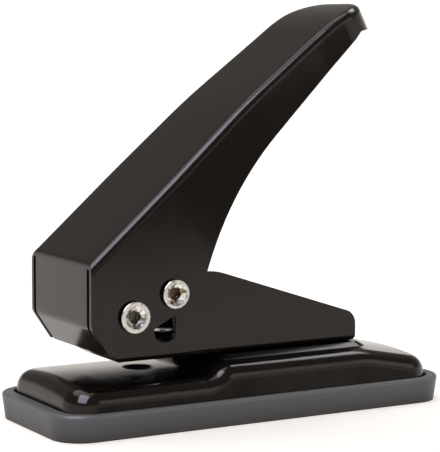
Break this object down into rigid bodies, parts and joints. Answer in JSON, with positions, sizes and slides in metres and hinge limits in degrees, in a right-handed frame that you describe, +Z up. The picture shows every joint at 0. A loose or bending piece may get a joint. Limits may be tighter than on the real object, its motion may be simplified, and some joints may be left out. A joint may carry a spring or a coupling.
{
  "type": "one-hole desk punch",
  "caption": "Hand lever desk punch: folded steel lever with a round tip, U-shaped punch frame riveted to a stepped base, and a shallow chip tray underneath.",
  "frame": {"origin": "middle of the flat underside of the chip tray", "axes": "+X from the paper throat at the front to the free end of the lever at the back, +Z up, Y across and the plane Y = 0 is the plane of symmetry"},
  "size_m": [0.1168, 0.0446, 0.1082],
  "materials": {
    "black_paint": "gloss",
    "tray_plastic": "satin",
    "nickel": "polished nickel plate",
    "bright_steel": "bright",
    "dark_steel": "oiled black"
  },
  "bodies": {
    "tray": {"chip_tray": "tray_plastic"},
    "punch_unit": {"base_plate": "black_paint", "die_button": "dark_steel", "punch_frame": "black_paint", "guide_bush": "dark_steel", "frame_rivets": "black_paint", "fulcrum_sleeve": "bright_steel", "return_spring": "bright_steel"},
    "lever": {"handle_lever": "black_paint", "fulcrum_pin": "nickel", "fulcrum_collar_left": "bright_steel", "fulcrum_collar_right": "bright_steel", "drive_pin": "nickel", "drive_collar_left": "bright_steel", "drive_collar_right": "bright_steel", "drive_roller": "bright_steel"},
    "punch": {"punch_pin": "bright_steel", "spring_washer": "bright_steel"}
  },
  "joints": [
    {"name": "tray_release", "type": "slide", "parent": "tray", "child": "punch_unit", "axis": [0, 0, 1], "range_m": [0, 0.025]},
    {"name": "lever_hinge", "type": "hinge", "parent": "punch_unit", "child": "lever", "pos_m": [-0.0368, 0, 0.0297], "axis": [0, 1, 0], "range_deg": [0, 42], "stiffness_Nm_per_rad": 0.12, "springref_deg": -34.38},
    {"name": "punch_slide", "type": "slide", "parent": "punch_unit", "child": "punch", "axis": [0, 0, -1], "range_m": [0, 0.0092], "deforming": ["return_spring"]}
  ],
  "couplings": [
    {"joint": "punch_slide", "follows": "lever_hinge", "m_per_rad": 0.01228}
  ]
}
